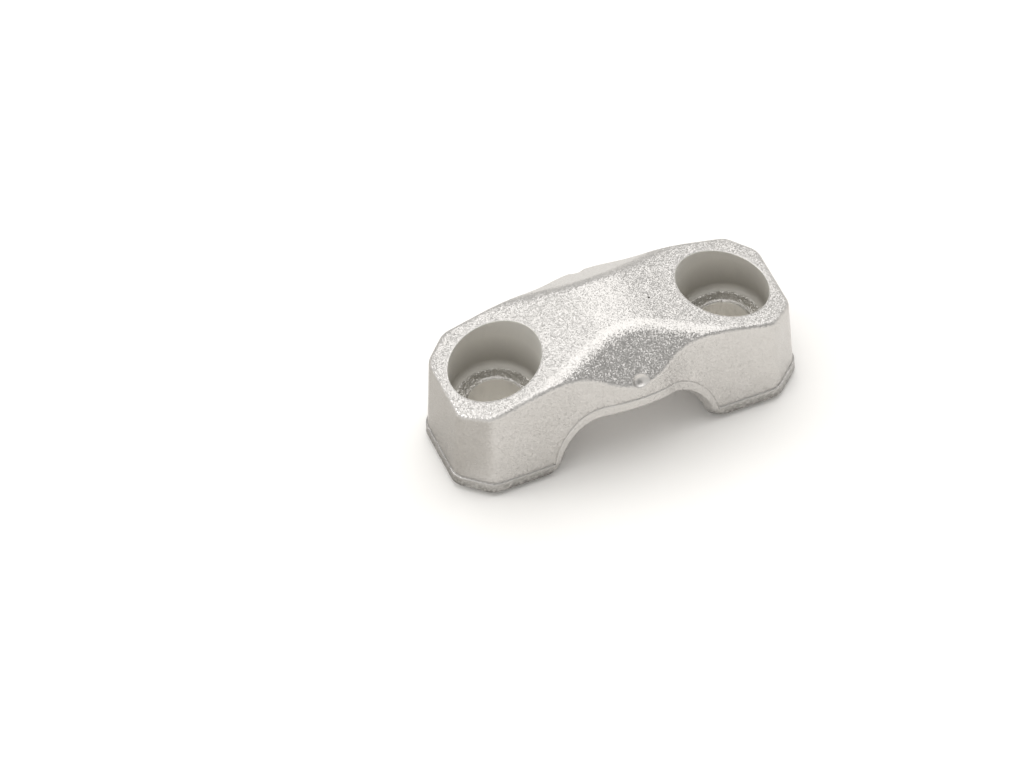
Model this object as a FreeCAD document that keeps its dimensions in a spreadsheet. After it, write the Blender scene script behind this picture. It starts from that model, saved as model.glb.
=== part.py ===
import FreeCAD, Part
import math
import os
import Sketcher

# Handlebar clamp cap: the upper clamp half of a handlebar riser, one forged aluminium piece.
# X runs from bolt to bolt, Y along the handlebar, Z up. The two feet stand on z = 0.

doc = FreeCAD.newDocument("clamp_cap")

# Driving sizes in millimetres and degrees
SIZES = [
    ("bar_diameter", 25.4, "handlebar held by the saddle"),
    ("bar_drop", 0.4, "how far the bar axis lies below the feet"),
    ("bolt_inset", 10.0, "from each end of the cap, at the foot plane, to the bolt axis"),
    ("bolt_hole", 9.0, "clearance hole for an M8 bolt"),
    ("socket_bore", 15.0, "counterbore for the bolt head"),
    ("socket_floor", 10.0, "height of the bolt seat above the feet"),
    ("socket_round", 1.3, "fillet at the bottom of the counterbore"),
    ("hole_break", 0.35, "broken edge where the bolt hole leaves the seat"),
    ("body_length", 59.2, "length at the foot plane"),
    ("end_width", 21.1, "width of the bolt ends at the foot plane"),
    ("saddle_width", 26.9, "width over the two wings of the saddle at the foot plane"),
    ("corner_along", 5.0, "corner chamfer, measured along X"),
    ("corner_across", 4.5, "corner chamfer, measured along Y"),
    ("wing_round", 11.6, "plan radius at the middle of each wing"),
    ("wing_hollow", 11.6, "plan radius of the sweep from wing to bolt end"),
    ("corner_round", 3.0, "rounding of the upright corners"),
    ("side_draft", 1.3, "die draft of the long sides and the wings"),
    ("end_draft", 3.4, "die draft of the two end faces"),
    ("corner_draft", 1.5, "die draft of the cut corners"),
    ("crown_height", 24.15, "top of the crown above the feet"),
    ("crown_radius", 20.0, "radius that blends the two pads over the crown"),
    ("pad_slope", 15.6, "fall of each bolt pad towards its end"),
    ("wing_fall", 39.7, "slope of the facet on each wing"),
    ("wing_edge", 17.8, "height of the facet plane at the wing width"),
    ("ridge_round", 4.0, "soft round between crown and facet"),
    ("top_round", 0.85, "round along the whole top edge"),
    ("flash_height", 2.85, "height of the parting line over the feet"),
    ("flash_arch", 14.3, "radius of the parting line over the saddle"),
    ("flash_centre", 0.85, "height of the centre of that arch"),
    ("flash_step", 0.2, "how far the lower die half stands proud"),
    ("lip_bevel", 1.1, "bevel under the lip, feet and saddle alike"),
    ("mouth_round", 3.6, "round where the saddle runs out into the feet"),
    ("pin_mark_ball", 1.8, "ball radius of the small die mark on the edge of each facet"),
    ("pin_mark_rise", 1.5, "height of the centre of that ball over the facet plane at the wing width"),
]

sheet = doc.addObject("Spreadsheet::Sheet", "sizes")
for row, (alias, value, meaning) in enumerate(SIZES, start=1):
    sheet.set("A" + str(row), meaning)
    sheet.set("B" + str(row), str(value))
    sheet.setAlias("B" + str(row), alias)
doc.recompute()
size = {alias: float(sheet.get(alias)) for alias, value, meaning in SIZES}

# Room left around the work where a cutting or trimming shape runs past it
CLEAR = 4.0

# Room left over the crown by the cut of each facet
SKIM = 0.5

# Places closer than this are taken as the same place
SAME = 0.01

# Edges closer than this to a surface are taken as lying along it
NEAR = 0.3

# A wall is at least this high, and the upright part of its normal stays under this share
WALL_HEIGHT = 1.0
STEEP = 0.2


def vec(x, y):
    return FreeCAD.Vector(x, y, 0)


def new_sketch(body, name, role):
    """Start a sketch on one of the body's own origin planes."""
    sketch = body.newObject("Sketcher::SketchObject", name)
    plane = [item for item in body.Origin.OriginFeatures if item.Role == role][0]
    sketch.AttachmentSupport = (plane, "")
    sketch.MapMode = "FlatFace"
    return sketch


def dimension(sketch, name, kind, items, formula, value):
    """Add a named dimension that follows a formula of the sheet."""
    index = sketch.addConstraint(Sketcher.Constraint(kind, *items, value))
    sketch.renameConstraint(index, name)
    sketch.setExpression("Constraints." + name, formula)


def pin(sketch, name, spot, point, formula_x, formula_y):
    """Hold a point at its distances from the origin; the formulas give them without sign."""
    origin = (-1, 1)
    for kind, value, formula, axis in (
        ("DistanceX", point.x, formula_x, -2),
        ("DistanceY", point.y, formula_y, -1),
    ):
        if abs(value) < SAME:
            sketch.addConstraint(Sketcher.Constraint("PointOnObject", *spot, axis))
        else:
            items = origin + spot if value > 0 else spot + origin
            dimension(sketch, name + "_" + kind[-1].lower(), kind, items, formula, abs(value))


def draw(sketch, points, runs):
    """Draw a closed run of lines and arcs through named points and bind it to the sheet.

    A point is (x, y, formula of |x|, formula of |y|). A run is (first, last) for a line, or
    (first, last, centre x, centre y, radius formula) for an arc turning anticlockwise.
    """
    held = {}
    for run in runs:
        first = vec(*points[run[0]][:2])
        last = vec(*points[run[1]][:2])
        if len(run) == 2:
            index = sketch.addGeometry(Part.LineSegment(first, last))
        else:
            centre = vec(run[2], run[3])
            radius = first.sub(centre).Length
            start = math.atan2(first.y - centre.y, first.x - centre.x)
            end = math.atan2(last.y - centre.y, last.x - centre.x)
            if end < start:
                end += 2 * math.pi
            circle = Part.Circle(centre, FreeCAD.Vector(0, 0, 1), radius)
            index = sketch.addGeometry(Part.ArcOfCircle(circle, start, end))
            dimension(sketch, "radius_" + run[0] + "_" + run[1], "Radius", (index,), run[4], radius)
        for name, end_number in ((run[0], 1), (run[1], 2)):
            if name in held:
                joint = Sketcher.Constraint("Coincident", *held[name], index, end_number)
                sketch.addConstraint(joint)
            else:
                held[name] = (index, end_number)
    for name, (x, y, formula_x, formula_y) in points.items():
        pin(sketch, name, held[name], vec(x, y), formula_x, formula_y)
    doc.recompute()


def along(edge, share):
    """The point at a share of an edge's run."""
    return edge.valueAt(edge.FirstParameter + share * (edge.LastParameter - edge.FirstParameter))


def edges_where(feature, test):
    """Names of the edges of a feature for which the test holds."""
    names = []
    for number, edge in enumerate(feature.Shape.Edges, start=1):
        if test(edge):
            names.append("Edge" + str(number))
    return names


def dress_edges(body, base, name, test, alias, kind, prop):
    """Treat the chosen edges with a size from the sheet."""
    feature = body.newObject(kind, name)
    feature.Base = (base, edges_where(base, test))
    setattr(feature, prop, size[alias])
    feature.setExpression(prop, "sizes." + alias)
    doc.recompute()
    return feature


def round_edges(body, base, name, test, alias):
    return dress_edges(body, base, name, test, alias, "PartDesign::Fillet", "Radius")


def bevel_edges(body, base, name, test, alias):
    return dress_edges(body, base, name, test, alias, "PartDesign::Chamfer", "Size")


def combine(body, tool, name, kind):
    """Join another body to this one, or keep only what both share."""
    feature = body.newObject("PartDesign::Boolean", name)
    feature.setObjects([tool])
    feature.Type = kind
    doc.recompute()
    return feature


def pad_through(body, sketch, name, formula, value):
    """Pad a side elevation to both sides of the XZ plane."""
    feature = body.newObject("PartDesign::Pad", name)
    feature.Profile = sketch
    feature.SideType = "Symmetric"
    feature.Length = value
    feature.setExpression("Length", formula)
    doc.recompute()
    return feature


# Plan outline: bolt ends with cut corners, and a wing swelling out over the saddle
def outline_body(name, grow):
    """The plan outline as a tall drafted block; grow is 1 for the proud lower die half."""
    step = size["flash_step"] * grow
    plus = " + sizes.flash_step" if grow else ""
    minus = " - sizes.flash_step" if grow else ""
    half_length = size["body_length"] / 2 + step
    half_end = size["end_width"] / 2 + step
    half_wing = size["saddle_width"] / 2 + step
    round_out = size["wing_round"] + step
    round_in = size["wing_hollow"] - step
    reach = round_out + round_in
    rise = half_end - half_wing + reach
    start = math.sqrt(reach ** 2 - rise ** 2)
    share = round_out / reach
    turn_x = start * share
    turn_y = half_wing - round_out + rise * share

    length_text = "(sizes.body_length / 2" + plus + ")"
    end_text = "(sizes.end_width / 2" + plus + ")"
    wing_text = "(sizes.saddle_width / 2" + plus + ")"
    out_text = "(sizes.wing_round" + plus + ")"
    in_text = "(sizes.wing_hollow" + minus + ")"
    reach_text = "(sizes.wing_round + sizes.wing_hollow)"
    rise_text = "(" + end_text + " - " + wing_text + " + " + reach_text + ")"
    start_text = "sqrt(" + reach_text + "^2 - " + rise_text + "^2)"
    share_text = out_text + " / " + reach_text
    turn_x_text = start_text + " * " + share_text
    turn_y_text = wing_text + " - " + out_text + " + " + rise_text + " * " + share_text

    points = {}
    for tag, sx, sy in (("1", 1, 1), ("2", -1, 1), ("3", -1, -1), ("4", 1, -1)):
        points["end" + tag] = (sx * half_length, sy * (half_end - size["corner_across"]),
                               length_text, end_text + " - sizes.corner_across")
        points["cut" + tag] = (sx * (half_length - size["corner_along"]), sy * half_end,
                               length_text + " - sizes.corner_along", end_text)
        points["side" + tag] = (sx * start, sy * half_end, start_text, end_text)
        points["turn" + tag] = (sx * turn_x, sy * turn_y, turn_x_text, turn_y_text)
    low = half_end + round_in
    mid = half_wing - round_out
    runs = [
        ("end4", "end1"), ("end1", "cut1"), ("cut1", "side1"),
        ("turn1", "side1", start, low, in_text), ("turn1", "turn2", 0, mid, out_text),
        ("side2", "turn2", -start, low, in_text), ("side2", "cut2"), ("cut2", "end2"),
        ("end2", "end3"), ("end3", "cut3"), ("cut3", "side3"),
        ("turn3", "side3", -start, -low, in_text), ("turn3", "turn4", 0, -mid, out_text),
        ("side4", "turn4", start, -low, in_text), ("side4", "cut4"), ("cut4", "end4"),
    ]
    body = doc.addObject("PartDesign::Body", name)
    sketch = new_sketch(body, name + "_plan", "XY_Plane")
    draw(sketch, points, runs)
    block = body.newObject("PartDesign::Pad", name + "_block")
    block.Profile = sketch
    block.Length = size["crown_height"] + CLEAR
    block.setExpression("Length", "sizes.crown_height + " + str(CLEAR))
    doc.recompute()

    def wall_names(feature, kind):
        """Faces of one kind of wall: the ends, the cut corners, or the sides with the wings."""
        names = []
        for number, face in enumerate(feature.Shape.Faces, start=1):
            box = face.BoundBox
            if abs(box.Center.x) > half_length - size["corner_along"] / 4:
                found = "end"
            elif abs(box.Center.x) > half_length - size["corner_along"]:
                found = "corner"
            else:
                found = "side"
            if found == kind and box.ZLength > WALL_HEIGHT:
                names.append("Face" + str(number))
        return names

    base = block
    for kind in ("side", "end", "corner"):
        drafted = body.newObject("PartDesign::Draft", name + "_" + kind + "_draft")
        drafted.Base = (base, wall_names(base, kind))
        drafted.NeutralPlane = (sketch.AttachmentSupport[0][0], [""])
        drafted.Angle = size[kind + "_draft"]
        drafted.setExpression("Angle", "sizes." + kind + "_draft")
        doc.recompute()
        base = drafted

    def upright_corner(edge):
        bottom = min(edge.Vertexes, key=lambda vertex: vertex.Z).Point
        top = max(edge.Vertexes, key=lambda vertex: vertex.Z).Point
        outside = abs(bottom.x) > half_length - size["corner_along"] - SAME
        return top.z - bottom.z > WALL_HEIGHT and outside

    round_edges(body, drafted, name + "_corners", upright_corner, "corner_round")
    return body


# Side elevations: the upper die half with pads and crown, the lower one with feet and saddle
half_block = size["body_length"] / 2 + CLEAR
half_block_text = "sizes.body_length / 2 + " + str(CLEAR)
block_width = size["saddle_width"] + 2 * CLEAR
block_width_text = "sizes.saddle_width + " + str(2 * CLEAR)
flash = size["flash_height"]
arch_x = math.sqrt(size["flash_arch"] ** 2 - (flash - size["flash_centre"]) ** 2)
arch_x_text = "sqrt(sizes.flash_arch^2 - (sizes.flash_height - sizes.flash_centre)^2)"


def upper_body():
    """Everything over the parting line, before it is trimmed to the plan outline."""
    slope = math.radians(size["pad_slope"])
    crown_x = size["crown_radius"] * math.sin(slope)
    crown_z = size["crown_height"] - size["crown_radius"] * (1 - math.cos(slope))
    side_z = crown_z - (half_block - crown_x) * math.tan(slope)
    crown_x_text = "sizes.crown_radius * sin(sizes.pad_slope * 1 deg)"
    crown_z_text = ("(sizes.crown_height - sizes.crown_radius"
                    " * (1 - cos(sizes.pad_slope * 1 deg)))")
    side_z_text = (crown_z_text + " - (" + half_block_text + " - " + crown_x_text
                   + ") * tan(sizes.pad_slope * 1 deg)")
    points = {}
    for tag, side in (("r", 1), ("l", -1)):
        points["arch_" + tag] = (side * arch_x, flash, arch_x_text, "sizes.flash_height")
        points["foot_" + tag] = (side * half_block, flash, half_block_text, "sizes.flash_height")
        points["pad_" + tag] = (side * half_block, side_z, half_block_text, side_z_text)
        points["crown_" + tag] = (side * crown_x, crown_z, crown_x_text, crown_z_text)
    runs = [
        ("arch_r", "foot_r"), ("foot_r", "pad_r"), ("pad_r", "crown_r"),
        ("crown_r", "crown_l", 0, size["crown_height"] - size["crown_radius"], "sizes.crown_radius"),
        ("crown_l", "pad_l"), ("pad_l", "foot_l"), ("foot_l", "arch_l"),
        ("arch_r", "arch_l", 0, size["flash_centre"], "sizes.flash_arch"),
    ]
    body = doc.addObject("PartDesign::Body", "clamp_cap")
    sketch = new_sketch(body, "upper_elevation", "XZ_Plane")
    draw(sketch, points, runs)
    pad_through(body, sketch, "upper_block", block_width_text, block_width)

    # Facets that fall away over each wing
    fall = math.tan(math.radians(size["wing_fall"]))
    half_wing = size["saddle_width"] / 2
    out_y = half_wing + 2 * CLEAR
    out_z = size["wing_edge"] - fall * 2 * CLEAR
    high_z = size["crown_height"] + SKIM
    in_y = half_wing - (high_z - size["wing_edge"]) / fall
    fall_text = "tan(sizes.wing_fall * 1 deg)"
    out_y_text = "sizes.saddle_width / 2 + " + str(2 * CLEAR)
    out_z_text = "sizes.wing_edge - " + fall_text + " * " + str(2 * CLEAR)
    high_z_text = "sizes.crown_height + " + str(SKIM)
    in_y_text = "sizes.saddle_width / 2 - (" + high_z_text + " - sizes.wing_edge) / " + fall_text
    for tag, side in (("near", -1), ("far", 1)):
        points = {
            "low": (side * out_y, out_z, out_y_text, out_z_text),
            "high": (side * out_y, high_z, out_y_text, high_z_text),
            "top": (side * in_y, high_z, in_y_text, high_z_text),
        }
        sketch = new_sketch(body, tag + "_facet_section", "YZ_Plane")
        draw(sketch, points, [("low", "high"), ("high", "top"), ("top", "low")])
        facet = body.newObject("PartDesign::Pocket", tag + "_facet")
        facet.Profile = sketch
        facet.Type = "ThroughAll"
        facet.SideType = "Symmetric"
        doc.recompute()

    def ridge(edge):
        for share in (0.25, 0.5, 0.75):
            spot = along(edge, share)
            facet_z = size["wing_edge"] - fall * (abs(spot.y) - half_wing)
            arch_distance = math.hypot(spot.x, spot.z - size["flash_centre"])
            inside = abs(spot.y) < block_width / 2 - SAME and abs(spot.x) < half_block - SAME
            if not inside or arch_distance < size["flash_arch"] + NEAR:
                return False
            if abs(spot.z - facet_z) > SAME:
                return False
        return True

    round_edges(body, facet, "ridges", ridge, "ridge_round")
    return body


def lower_body():
    """The rim under the parting line: two feet and the saddle for the bar."""
    radius = size["bar_diameter"] / 2
    drop = size["bar_drop"]
    mouth_x = math.sqrt(radius ** 2 - drop ** 2)
    mouth_x_text = "sqrt((sizes.bar_diameter / 2)^2 - sizes.bar_drop^2)"
    points = {}
    for tag, side in (("r", 1), ("l", -1)):
        points["mouth_" + tag] = (side * mouth_x, 0, mouth_x_text, "0")
        points["toe_" + tag] = (side * half_block, 0, half_block_text, "0")
        points["foot_" + tag] = (side * half_block, flash, half_block_text, "sizes.flash_height")
        points["arch_" + tag] = (side * arch_x, flash, arch_x_text, "sizes.flash_height")
    runs = [
        ("mouth_r", "toe_r"), ("toe_r", "foot_r"), ("foot_r", "arch_r"),
        ("arch_r", "arch_l", 0, size["flash_centre"], "sizes.flash_arch"),
        ("arch_l", "foot_l"), ("foot_l", "toe_l"), ("toe_l", "mouth_l"),
        ("mouth_r", "mouth_l", 0, -drop, "sizes.bar_diameter / 2"),
    ]
    body = doc.addObject("PartDesign::Body", "lower_rim")
    sketch = new_sketch(body, "lower_elevation", "XZ_Plane")
    draw(sketch, points, runs)
    block = pad_through(body, sketch, "lower_block", block_width_text, block_width)

    def mouth(edge):
        box = edge.BoundBox
        level = box.ZLength < SAME and abs(box.Center.z) < SAME
        return level and box.XLength < SAME and abs(abs(box.Center.x) - mouth_x) < SAME

    round_edges(body, block, "mouth_rounds", mouth, "mouth_round")
    return body


upper = upper_body()
trimmed = combine(upper, outline_body("outline", 0), "trimmed_upper", "Common")


# Rounds along the top edge, from the walls onto pads, ridges and facets
def top_edge(edge):
    """An edge between a steep wall and a surface of the top."""
    middle = along(edge, 0.5)
    steep = []
    for face in trimmed.Shape.ancestorsOfType(edge, Part.Face):
        u, v = face.Surface.parameter(middle)
        steep.append(abs(face.normalAt(u, v).z) < STEEP)
    above = middle.z > flash + NEAR
    over_arch = math.hypot(middle.x, middle.z - size["flash_centre"]) > size["flash_arch"] + NEAR
    return sorted(steep) == [False, True] and above and over_arch


round_edges(upper, trimmed, "top_rounds", top_edge, "top_round")

lower = lower_body()
rim = combine(lower, outline_body("rim_outline", 1), "trimmed_rim", "Common")


# Bevel under the lip, along the feet and up over the saddle
def under_edge(edge):
    """An edge of the feet, the saddle or the round between them that lies in an outer wall."""
    middle = along(edge, 0.5)
    crossing = edge.BoundBox.YLength > size["end_width"] - 2 * size["corner_across"] - CLEAR
    at_end = abs(middle.x) > size["body_length"] / 2 - CLEAR
    bar_distance = math.hypot(middle.x, middle.z + size["bar_drop"])
    underneath = middle.z < NEAR or bar_distance < size["bar_diameter"] / 2 + NEAR
    return underneath and (at_end or not crossing)


bevel_edges(lower, rim, "under_bevels", under_edge, "lip_bevel")
combine(upper, lower, "forged_blank", "Fuse")


# Two bolt holes with a counterbore for each bolt head
bolt_x = size["body_length"] / 2 - size["bolt_inset"]
bolt_x_text = "sizes.body_length / 2 - sizes.bolt_inset"


def circles(name, alias, height_alias):
    sketch = new_sketch(upper, name + "_circles", "XY_Plane")
    for tag, side in (("left", -1), ("right", 1)):
        middle = vec(side * bolt_x, 0)
        index = sketch.addGeometry(Part.Circle(middle, FreeCAD.Vector(0, 0, 1), size[alias] / 2))
        dimension(sketch, tag + "_radius", "Radius", (index,), "sizes." + alias + " / 2",
                  size[alias] / 2)
        pin(sketch, tag + "_centre", (index, 3), middle, bolt_x_text, "0")
    if height_alias:
        sketch.AttachmentOffset = FreeCAD.Placement(
            FreeCAD.Vector(0, 0, size[height_alias]), FreeCAD.Rotation())
        sketch.setExpression("AttachmentOffset.Base.z", "sizes." + height_alias)
    pocket = upper.newObject("PartDesign::Pocket", name)
    pocket.Profile = sketch
    pocket.Reversed = True
    pocket.Type = "ThroughAll"
    doc.recompute()
    return pocket


circles("bolt_holes", "bolt_hole", None)
sockets = circles("bolt_sockets", "socket_bore", "socket_floor")


def ring_at(radius, height):
    """Test for a level circle of this radius around a bolt axis."""
    def test(edge):
        box = edge.BoundBox
        level = box.ZLength < SAME and abs(box.Center.z - height) < SAME
        on_axis = abs(abs(box.Center.x) - bolt_x) < SAME
        return level and on_axis and abs(box.XLength - 2 * radius) < 2 * SAME
    return test


seat_rounds = round_edges(
    upper, sockets, "socket_rounds", ring_at(size["socket_bore"] / 2, size["socket_floor"]), "socket_round")
bevel_edges(
    upper, seat_rounds, "hole_breaks", ring_at(size["bolt_hole"] / 2, size["socket_floor"]), "hole_break")

# A small dished die mark on the edge of each facet, halfway along
mark_y = size["saddle_width"] / 2
mark_z = size["wing_edge"] + size["pin_mark_rise"]
for tag, side in (("near", -1), ("far", 1)):
    mark = upper.newObject("PartDesign::SubtractiveSphere", tag + "_pin_mark")
    mark.Radius = size["pin_mark_ball"]
    mark.setExpression("Radius", "sizes.pin_mark_ball")
    mark.Placement = FreeCAD.Placement(FreeCAD.Vector(0, side * mark_y, mark_z), FreeCAD.Rotation())
    mark.setExpression("Placement.Base.y", str(side) + " * sizes.saddle_width / 2")
    mark.setExpression("Placement.Base.z", "sizes.wing_edge + sizes.pin_mark_rise")
    doc.recompute()
upper.Tip = mark
doc.recompute()

# Check every object, then write the part
for item in doc.Objects:
    if "Invalid" in item.State or "Error" in item.State:
        raise RuntimeError(item.Name + " did not rebuild")
shape = upper.Shape
if shape.isNull() or not shape.isValid() or len(shape.Solids) != 1:
    raise RuntimeError("the cap is not one sound solid")
print("volume mm3", round(shape.Volume, 1), "box", shape.BoundBox)
os.makedirs("parts", exist_ok=True)
shape.exportStep("parts/clamp_cap.step")
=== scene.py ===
# %% [markdown]
# # A forged handlebar clamp cap, finished and photographed
#
# The CAD model gives one forged aluminium piece. This lesson gives it a shot-blasted finish and a trace of
# trimmed flash, stands it on a white table under soft light, and sets the camera as in the photograph.
# All lengths are in metres, in the frame of the CAD model: X from bolt to bolt, Y along the bar, Z up.
# Sizes are written in millimetres, as on a drawing, and one factor turns them into metres.

# %% Load the CAD frame
import math

import bpy
from mathutils import Matrix, Vector


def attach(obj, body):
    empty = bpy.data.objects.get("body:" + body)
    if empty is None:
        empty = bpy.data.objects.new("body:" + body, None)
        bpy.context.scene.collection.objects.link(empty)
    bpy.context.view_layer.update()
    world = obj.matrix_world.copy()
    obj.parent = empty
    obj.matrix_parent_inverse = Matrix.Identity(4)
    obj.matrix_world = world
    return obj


MM = 0.001
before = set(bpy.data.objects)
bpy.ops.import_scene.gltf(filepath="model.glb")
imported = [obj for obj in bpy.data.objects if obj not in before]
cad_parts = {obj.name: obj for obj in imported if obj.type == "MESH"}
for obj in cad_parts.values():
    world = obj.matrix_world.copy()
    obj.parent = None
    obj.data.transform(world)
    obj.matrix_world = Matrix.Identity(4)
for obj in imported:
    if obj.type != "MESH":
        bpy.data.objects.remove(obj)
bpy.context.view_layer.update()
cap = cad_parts["clamp_cap"]
print("cap:", len(cap.data.polygons), "triangles")

# %% [markdown]
# ## Colours and nodes
#
# A colour picker gives sRGB values, but light adds up in linear values, so one function turns a hex colour
# into linear light. The materials, the sky and the flash are all made of nodes. A node takes several lines:
# add it, set its options, fill its inputs. One small function does all three, so a node is one call.

# %% One function for colours and one for nodes
def linear(hex_colour):
    """A colour such as #C8C5C0 as linear red, green, blue and alpha."""
    parts = [int(hex_colour[i:i + 2], 16) / 255 for i in (1, 3, 5)]
    light = [p / 12.92 if p <= 0.04045 else ((p + 0.055) / 1.055) ** 2.4 for p in parts]
    return (*light, 1.0)


def add(tree, kind, links=None, **settings):
    """Add a node, set its options and fill its inputs; a node as an input stands for its first output."""
    node = tree.nodes.new(kind)
    for name, value in settings.items():
        setattr(node, name, value)
    for name, value in (links or {}).items():
        if isinstance(value, bpy.types.Node):
            value = next(socket for socket in value.outputs if socket.enabled)
        if isinstance(value, bpy.types.NodeSocket):
            tree.links.new(value, node.inputs[name])
        else:
            node.inputs[name].default_value = value
    return node


def node_material(name):
    """A material with an empty node tree; returns both."""
    material = bpy.data.materials.new(name)
    material.use_nodes = True
    material.node_tree.nodes.clear()
    return material, material.node_tree


print("mid grey in linear light:", round(linear("#808080")[0], 3))

# %% [markdown]
# ## Where the finish changes
#
# The forging was blasted all over, and then the counterbores and bolt holes were cut,
# so their walls are smoother. A die pin pressed one small smooth mark at the foot of each facet.
# The faces could be picked by hand, but a distance from an axis or a point finds them too,
# and it still fits when the CAD mesh changes. Both halves of the cap are alike,
# so the position is folded onto one quarter first.

# %% Masks for the cut and pressed places
BOLT_AXIS = (19.6 * MM, 0.0, 0.0)
BORE_RADIUS = 7.5 * MM
HOLE_RADIUS = 4.5 * MM
SEAT_HEIGHT = 10.0 * MM
MARK_PLACE = (0.0, 13.45 * MM, 19.3 * MM)
MARK_BALL = 1.8 * MM
MARGIN = 0.05 * MM
SEEN_FROM_ABOVE = (1.0, 1.0, 0.0)

aluminium, metal = node_material("blasted_aluminium")
place = add(metal, "ShaderNodeTexCoord").outputs["Object"]
height = add(metal, "ShaderNodeSeparateXYZ", {0: place}).outputs["Z"]
folded = add(metal, "ShaderNodeVectorMath", {0: place}, operation="ABSOLUTE")
flat = add(metal, "ShaderNodeVectorMath", {0: folded, 1: SEEN_FROM_ABOVE}, operation="MULTIPLY")
from_bolt = add(metal, "ShaderNodeVectorMath", {0: flat, 1: BOLT_AXIS}, operation="DISTANCE")
from_mark = add(metal, "ShaderNodeVectorMath", {0: folded, 1: MARK_PLACE}, operation="DISTANCE")

drilled = add(metal, "ShaderNodeMath", {0: from_bolt, 1: HOLE_RADIUS + MARGIN}, operation="LESS_THAN")
in_bore = add(metal, "ShaderNodeMath", {0: from_bolt, 1: BORE_RADIUS + MARGIN}, operation="LESS_THAN")
over_seat = add(metal, "ShaderNodeMath", {0: height, 1: SEAT_HEIGHT + MARGIN}, operation="GREATER_THAN")
from_seat = add(metal, "ShaderNodeMath", {0: height, 1: SEAT_HEIGHT - MARGIN}, operation="GREATER_THAN")
bored = add(metal, "ShaderNodeMath", {0: in_bore, 1: over_seat}, operation="MULTIPLY")
seated = add(metal, "ShaderNodeMath", {0: in_bore, 1: from_seat}, operation="MULTIPLY")
pressed = add(metal, "ShaderNodeMath", {0: from_mark, 1: MARK_BALL + MARGIN}, operation="LESS_THAN")
cut = add(metal, "ShaderNodeMath", {0: bored, 1: drilled}, operation="MAXIMUM")
smooth = add(metal, "ShaderNodeMath", {0: cut, 1: pressed}, operation="MAXIMUM")
print("mask nodes:", len(metal.nodes))

# %% [markdown]
# ## The blasted surface
#
# Shot leaves tiny dents side by side, and each dent tilts the surface its own way. To the eye that gives
# a pale grey metal with a fine sparkle: a few dents catch the lamp while their neighbours stay dark.
# Modelled dents would take millions of faces, and a bump pattern finer than a pixel fades away.
# So a cell pattern with one random colour a dent tilts the normal itself. A dent is 0.14 mm across,
# which is about one pixel of the picture. The forged edges are soft,
# so the tilt is added to a normal that a Bevel node has rounded off.

# %% Dents that tilt the normal
DENT = 0.14 * MM
TILT = 0.46
CUT_TILT = 0.10
EDGE_SOFTNESS = 0.40 * MM
EDGE_SAMPLES = 6
MIDDLE = (0.5, 0.5, 0.5)

dents = add(metal, "ShaderNodeTexVoronoi", {"Vector": place, "Scale": 1 / DENT}).outputs["Color"]
swing = add(metal, "ShaderNodeVectorMath", {0: dents, 1: MIDDLE}, operation="SUBTRACT")
amount = add(metal, "ShaderNodeMapRange", {"Value": smooth, "To Min": TILT, "To Max": CUT_TILT})
tilt = add(metal, "ShaderNodeVectorMath", {0: swing, "Scale": amount}, operation="SCALE")
soft = add(metal, "ShaderNodeBevel", {"Radius": EDGE_SOFTNESS}, samples=EDGE_SAMPLES)
tilted = add(metal, "ShaderNodeVectorMath", {0: soft, 1: tilt}, operation="ADD")
facing = add(metal, "ShaderNodeVectorMath", {0: tilted}, operation="NORMALIZE")
print("dents to a millimetre:", round(MM / DENT, 1))

# %% [markdown]
# ## Tones of the metal
#
# Blasted aluminium is not one even grey: it clouds over a few millimetres. The counterbore walls are painted
# darker towards the seat and paler near the top, and the seat is painted darker too: painted shade in the
# recess.
# The bolt holes are painted almost white: painted light inside the holes. Along the feet, under the trimmed
# ledge, the metal is painted darker in patches towards the table: painted shade where the lip turns under.
# One tiny pit in the crown is too small to model, so its shade is painted on as a dark spot.
# Paint would do for a picture, but masks measured from the shape stay in place from every side.
# In a Mix node that mixes colours, input 0 is the share, and inputs 6 and 7 are the two colours.

# %% Clouds, and painted shade in the counterbores
CLOUD = 6.0 * MM
BORE_SHADE_HEIGHT = 7.0 * MM
BORE_TOP = SEAT_HEIGHT + BORE_SHADE_HEIGHT

cloud = add(metal, "ShaderNodeTexNoise", {"Vector": place, "Scale": 1 / CLOUD, "Detail": 3.0})
clouded = add(metal, "ShaderNodeMix",
              {0: cloud, 6: linear("#C6C3BF"), 7: linear("#D0CDCA")}, data_type="RGBA")
# Painted shade: the seat at the bottom of each counterbore is painted a darker grey.
with_seat_shade = add(metal, "ShaderNodeMix", {0: seated, 6: clouded, 7: linear("#B6B3AE")}, data_type="RGBA")
# Painted shade: the counterbore walls are painted darker towards the seat and paler towards the top.
depth = add(metal, "ShaderNodeMapRange", {"Value": height, "From Min": SEAT_HEIGHT, "From Max": BORE_TOP})
painted_bore_shade = add(metal, "ShaderNodeMix", {0: depth, 6: linear("#C0BDB7"), 7: linear("#ECEAE5")}, data_type="RGBA")
with_bore = add(metal, "ShaderNodeMix", {0: bored, 6: with_seat_shade, 7: painted_bore_shade}, data_type="RGBA")
# Painted light: the bolt holes are painted almost white, as if light reached deep into them.
with_hole_light = add(metal, "ShaderNodeMix", {0: drilled, 6: with_bore, 7: linear("#F2F0EC")}, data_type="RGBA")
print("counterbore shade runs over", round(BORE_SHADE_HEIGHT / MM, 1), "mm")

# %% Painted shade along the feet
LIP_DARK = 1.4 * MM
LIP_UNSHADED = 3.4 * MM
SPOT = 0.5 * MM
SPOT_PALE = 0.15
SPOT_DARK = 0.60

# Painted shade: near the table the feet are painted darker in patches, where the lip turns under.
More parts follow.
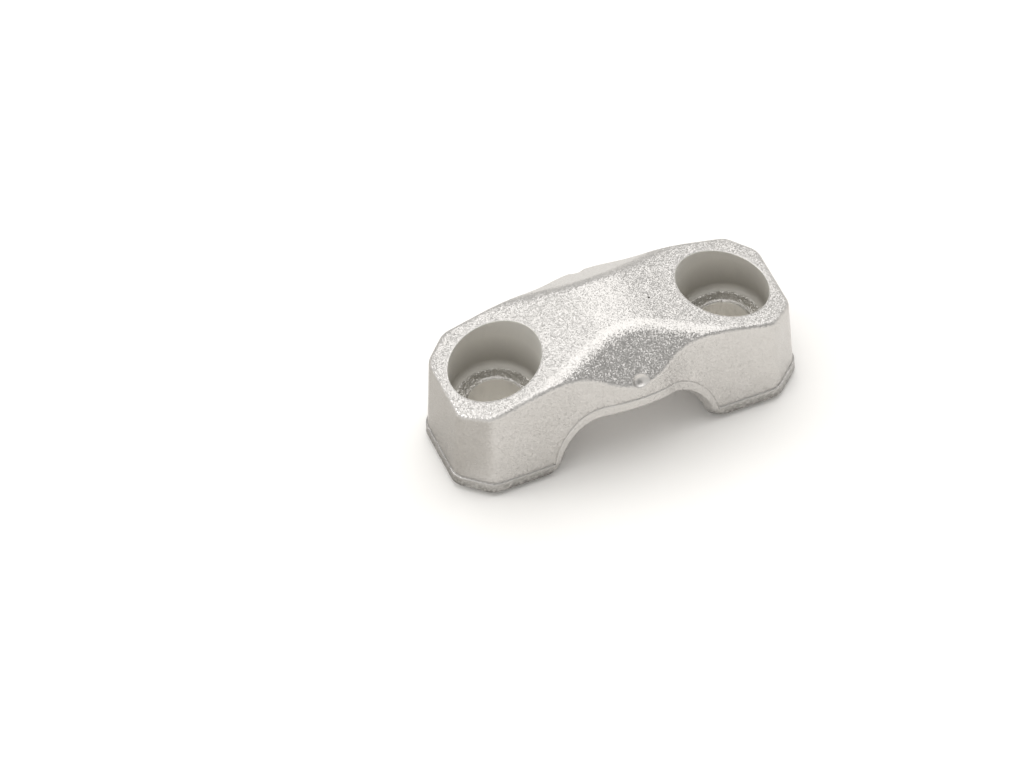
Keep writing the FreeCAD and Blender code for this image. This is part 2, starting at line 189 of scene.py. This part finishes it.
fade = add(metal, "ShaderNodeMapRange",
           {"Value": height, "From Min": LIP_DARK, "From Max": LIP_UNSHADED, "To Min": 1.0, "To Max": 0.0})
off_bottom = add(metal, "ShaderNodeMath", {0: height, 1: MARGIN}, operation="GREATER_THAN")
outside = add(metal, "ShaderNodeMath", {0: off_bottom, 1: drilled}, operation="SUBTRACT")
spots = add(metal, "ShaderNodeTexNoise", {"Vector": place, "Scale": 1 / SPOT, "Detail": 2.0})
patchy = add(metal, "ShaderNodeMapRange", {"Value": spots, "From Min": SPOT_PALE, "From Max": SPOT_DARK})
patchy_lip_shade = add(metal, "ShaderNodeMath", {0: fade, 1: patchy}, operation="MULTIPLY")
painted_lip_shade = add(metal, "ShaderNodeMath", {0: patchy_lip_shade, 1: outside}, operation="MULTIPLY")
with_lip = add(metal, "ShaderNodeMix", {0: painted_lip_shade, 6: with_hole_light, 7: linear("#868480")}, data_type="RGBA")
print("residue fades out", round(LIP_UNSHADED / MM, 1), "mm over the table")

# %% The pit, and the finished metal
PIT_PLACE = (6.6 * MM, -0.8 * MM, 0.0)
PIT_RADIUS = 0.22 * MM
BLAST_ROUGHNESS = 0.30
CUT_ROUGHNESS = 0.66

# Painted shade: a pit in the crown too small to model is painted on as a dark spot.
seen_flat = add(metal, "ShaderNodeVectorMath", {0: place, 1: SEEN_FROM_ABOVE}, operation="MULTIPLY")
from_pit = add(metal, "ShaderNodeVectorMath", {0: seen_flat, 1: PIT_PLACE}, operation="DISTANCE")
painted_pit_shade = add(metal, "ShaderNodeMath", {0: from_pit, 1: PIT_RADIUS}, operation="LESS_THAN")
tone = add(metal, "ShaderNodeMix", {0: painted_pit_shade, 6: with_lip, 7: linear("#4F4D49")}, data_type="RGBA")
roughness = add(metal, "ShaderNodeMapRange",
                {"Value": cut, "To Min": BLAST_ROUGHNESS, "To Max": CUT_ROUGHNESS})
shine = add(metal, "ShaderNodeBsdfPrincipled",
            {"Base Color": tone, "Metallic": 1.0, "Roughness": roughness, "Normal": facing})
add(metal, "ShaderNodeOutputMaterial", {"Surface": shine})

cap.data.materials.clear()
cap.data.materials.append(aluminium)
print("material on the cap:", cap.data.materials[0].name, "with", len(metal.nodes), "nodes")

# %% [markdown]
# ## The trimmed flash
#
# Where the two die halves met, a thin web of flash squeezed out. It was trimmed off and left an uneven bead
# on the small ledge over the lower lip. The bead could be drawn as a curve by hand.
# But the ledge has the only sharp inside corner of the CAD model, so a geometry tree finds it
# by its edge angle, makes it a curve, and sweeps a round bead along it whose thickness wanders.
# That way the bead is always on the ledge.

# %% Sizes of the bead
INSIDE_CORNER = -0.8
WELD = 0.002 * MM
BEAD_SIDES = 6
WANDER_THIN = 0.40
WANDER_THICK = 0.70
BEAD_SIZES = {
    "Thinnest": 0.02 * MM,
    "Thickest": 0.17 * MM,
    "Point spacing": 0.25 * MM,
    "Patch length": 1.6 * MM,
    "Seed": 4.0,
}

growth = bpy.data.node_groups.new("flash_bead", "GeometryNodeTree")
growth.interface.new_socket("Geometry", in_out="INPUT", socket_type="NodeSocketGeometry")
for name in BEAD_SIZES:
    growth.interface.new_socket(name, in_out="INPUT", socket_type="NodeSocketFloat")
growth.interface.new_socket("Finish", in_out="INPUT", socket_type="NodeSocketMaterial")
growth.interface.new_socket("Geometry", in_out="OUTPUT", socket_type="NodeSocketGeometry")
print("inputs of the tree:", [item.name for item in growth.interface.items_tree])

# %% The tree that grows the bead
given = add(growth, "NodeGroupInput").outputs
welded = add(growth, "GeometryNodeMergeByDistance", {"Geometry": given["Geometry"], "Distance": WELD})
bend = add(growth, "GeometryNodeInputMeshEdgeAngle").outputs["Signed Angle"]
inside = add(growth, "ShaderNodeMath", {0: bend, 1: INSIDE_CORNER}, operation="LESS_THAN")
seam = add(growth, "GeometryNodeMeshToCurve", {"Mesh": welded, "Selection": inside})
even = add(growth, "GeometryNodeResampleCurve",
           {"Curve": seam, "Length": given["Point spacing"]}, mode="LENGTH")

point = add(growth, "GeometryNodeInputPosition")
per_metre = add(growth, "ShaderNodeMath", {0: 1.0, 1: given["Patch length"]}, operation="DIVIDE")
wander = add(growth, "ShaderNodeTexNoise",
             {"Vector": point, "W": given["Seed"], "Scale": per_metre, "Detail": 4.0, "Roughness": 0.7},
             noise_dimensions="4D")
thickness = add(growth, "ShaderNodeMapRange",
                {"Value": wander, "From Min": WANDER_THIN, "From Max": WANDER_THICK,
                 "To Min": given["Thinnest"], "To Max": given["Thickest"]})

ring = add(growth, "GeometryNodeCurvePrimitiveCircle", {"Resolution": BEAD_SIDES, "Radius": 1.0})
swept = add(growth, "GeometryNodeCurveToMesh",
            {"Curve": even, "Profile Curve": ring, "Scale": thickness, "Fill Caps": True})
real = add(growth, "GeometryNodeRealizeInstances", {"Geometry": swept})
dressed = add(growth, "GeometryNodeSetMaterial", {"Geometry": real, "Material": given["Finish"]})
add(growth, "NodeGroupOutput", {"Geometry": dressed})
print("nodes of the tree:", len(growth.nodes))

# %% Grow the bead on a copy of the cap's mesh
bead = bpy.data.objects.new("flash_bead", cap.data.copy())
bpy.context.scene.collection.objects.link(bead)
grower = bead.modifiers.new("flash_bead", "NODES")
grower.node_group = growth
wanted = dict(BEAD_SIZES, Finish=aluminium)
for item in growth.interface.items_tree:
    if item.name in wanted:
        grower[item.identifier] = wanted[item.name]

grown = bead.evaluated_get(bpy.context.evaluated_depsgraph_get())
bead_mesh = bpy.data.meshes.new_from_object(grown)
bead.modifiers.clear()
bead.data = bead_mesh
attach(bead, "root")
print("flash bead:", len(bead.data.polygons), "faces")

# %% [markdown]
# ## The white table
#
# The cap stands on a plain white table that fades into a white background and keeps a soft shadow.
# A grey table under more light would look white too, but the light would burn out the metal.
# So the table is plain white paper, and the light stays at the level where white just shows as white.
# It lies a hair under the feet, so that two faces never share one plane.

# %% Table
TABLE_WIDTH = 4.0
TABLE_GAP = 0.02 * MM

bpy.ops.mesh.primitive_plane_add(size=TABLE_WIDTH, location=(0.0, 0.0, -TABLE_GAP))
table = bpy.context.object
table.name = "table"
paper, sheet = node_material("white_paper")
matte = add(sheet, "ShaderNodeBsdfDiffuse", {"Color": linear("#FFFDFA")})
add(sheet, "ShaderNodeOutputMaterial", {"Surface": matte})
table.data.materials.append(paper)
print("table:", [round(length, 2) for length in table.dimensions[:2]], "m")

# %% [markdown]
# ## A grey card for the left end
#
# Photographers darken one side of a shiny object with a grey card that it mirrors. The left end and its cut
# corner are a shade darker than the long wall. A weaker lamp would darken the whole cap,
# so a card lies on the table beside the left end. Only mirrors see it: it is in no view and casts no shadow.

# %% Grey card
CARD_SIZE = (90 * MM, 110 * MM)
CARD_PLACE = (-75.2 * MM, 20 * MM, 0.2 * MM)

bpy.ops.mesh.primitive_plane_add(size=1.0, location=CARD_PLACE)
card = bpy.context.object
card.name = "grey_card"
card.scale = (*CARD_SIZE, 1.0)
card.visible_camera = False
card.visible_diffuse = False
card.visible_shadow = False
grey, board = node_material("grey_board")
dull = add(board, "ShaderNodeBsdfDiffuse", {"Color": linear("#D6D3CE")})
add(board, "ShaderNodeOutputMaterial", {"Surface": dull})
card.data.materials.append(grey)
print("grey card:", [round(side / MM) for side in CARD_SIZE], "mm")

# %% [markdown]
# ## Lamps and sky
#
# Bare metal shows what it mirrors, so its light is made of large soft shapes.
# One wide lamp hangs over the cap and lights the pads and the crown. A smaller one stands on the left.
# A sky fills in the rest, a little brighter on the camera's side,
# with one dark patch beside the camera that the near facet mirrors. The camera itself sees plain white.
# An even sky would be simpler, but it would show every face of the metal in the same grey.

# %% Lamps
OVERHEAD_PLACE = (0.24, 0.22, 0.92)
OVERHEAD_WIDTH = 1.60
OVERHEAD_WATTS = 6.4
SIDE_PLACE = (-0.75, 0.30, 0.55)
SIDE_WIDTH = 0.40
SIDE_WATTS = 1.3


def soft_lamp(name, location, width, watts):
    """A round soft lamp that faces the part."""
    data = bpy.data.lights.new(name, "AREA")
    data.shape = "DISK"
    data.size = width
    data.energy = watts
    lamp = bpy.data.objects.new(name, data)
    bpy.context.scene.collection.objects.link(lamp)
    lamp.location = location
    lamp.rotation_euler = (-lamp.location).to_track_quat("-Z", "Y").to_euler()


soft_lamp("overhead_lamp", OVERHEAD_PLACE, OVERHEAD_WIDTH, OVERHEAD_WATTS)
soft_lamp("side_lamp", SIDE_PLACE, SIDE_WIDTH, SIDE_WATTS)

# %% Sky
CAMERA_SIDE = Vector((-0.30, -0.75, 0.60)).normalized()
DARK_PATCH = Vector((0.36, -0.62, 0.70)).normalized()
UPWARD = Vector((0.0, 0.0, 1.0))
SKY_DIM = 0.63
SKY_LIT = 0.92
HORIZON = 0.85
PATCH_LIGHT = 0.36
SIDE_SPAN = (-0.8, 0.9)
RISE_SPAN = (-0.1, 0.5)
PATCH_SPAN = (0.78, 0.96)

world = bpy.data.worlds.new("studio")
bpy.context.scene.world = world
world.use_nodes = True
sky = world.node_tree
sky.nodes.clear()
way = add(sky, "ShaderNodeTexCoord").outputs["Generated"]


def towards(direction, span, away, near):
    """A light that changes smoothly from away to near, as the view turns towards a direction."""
    cosine = add(sky, "ShaderNodeVectorMath", {0: way, 1: direction}, operation="DOT_PRODUCT")
    ramp = {"Value": cosine, "From Min": span[0], "From Max": span[1], "To Min": away, "To Max": near}
    return add(sky, "ShaderNodeMapRange", ramp, interpolation_type="SMOOTHSTEP")


side = towards(CAMERA_SIDE, SIDE_SPAN, SKY_DIM, SKY_LIT)
rise = towards(UPWARD, RISE_SPAN, HORIZON, 1.0)
patch = towards(DARK_PATCH, PATCH_SPAN, 1.0, PATCH_LIGHT)
wide = add(sky, "ShaderNodeMath", {0: side, 1: rise}, operation="MULTIPLY")
light = add(sky, "ShaderNodeMath", {0: wide, 1: patch}, operation="MULTIPLY")
by_camera = add(sky, "ShaderNodeLightPath").outputs["Is Camera Ray"]
shown = add(sky, "ShaderNodeMix", {0: by_camera, 2: light, 3: 1.0}, data_type="FLOAT")
glow = add(sky, "ShaderNodeBackground", {"Color": linear("#FEFEFD"), "Strength": shown})
add(sky, "ShaderNodeOutputWorld", {"Surface": glow})
print("sky nodes:", len(sky.nodes))

# %% [markdown]
# ## Camera
#
# The photograph was taken with a long lens from the near left, looking about fifty degrees down.
# A camera could be turned until the picture looks right. This one was worked out from the edges of the cap
# in the photograph, so it has an eye, a point that it looks at, a small roll and a focal length.

# %% Camera
EYE = Vector((-272.7, -662.15, 847.4)) * MM
AIM = Vector((-13.2, 9.4, 0.65)) * MM
ROLL = math.radians(-2.46)
LENS = 243.8
SENSOR = 36.0
FAR_LIMIT = 10.0

camera_data = bpy.data.cameras.new("camera")
camera_data.sensor_width = SENSOR
camera_data.lens = LENS
camera_data.clip_end = FAR_LIMIT
camera = bpy.data.objects.new("camera", camera_data)
bpy.context.scene.collection.objects.link(camera)
turn = (AIM - EYE).to_track_quat("-Z", "Y").to_matrix().to_4x4()
camera.matrix_world = Matrix.Translation(EYE) @ turn @ Matrix.Rotation(ROLL, 4, "Z")
bpy.context.scene.camera = camera
bpy.context.scene.view_settings.view_transform = "Standard"
print("camera distance:", round((AIM - EYE).length, 3), "m")
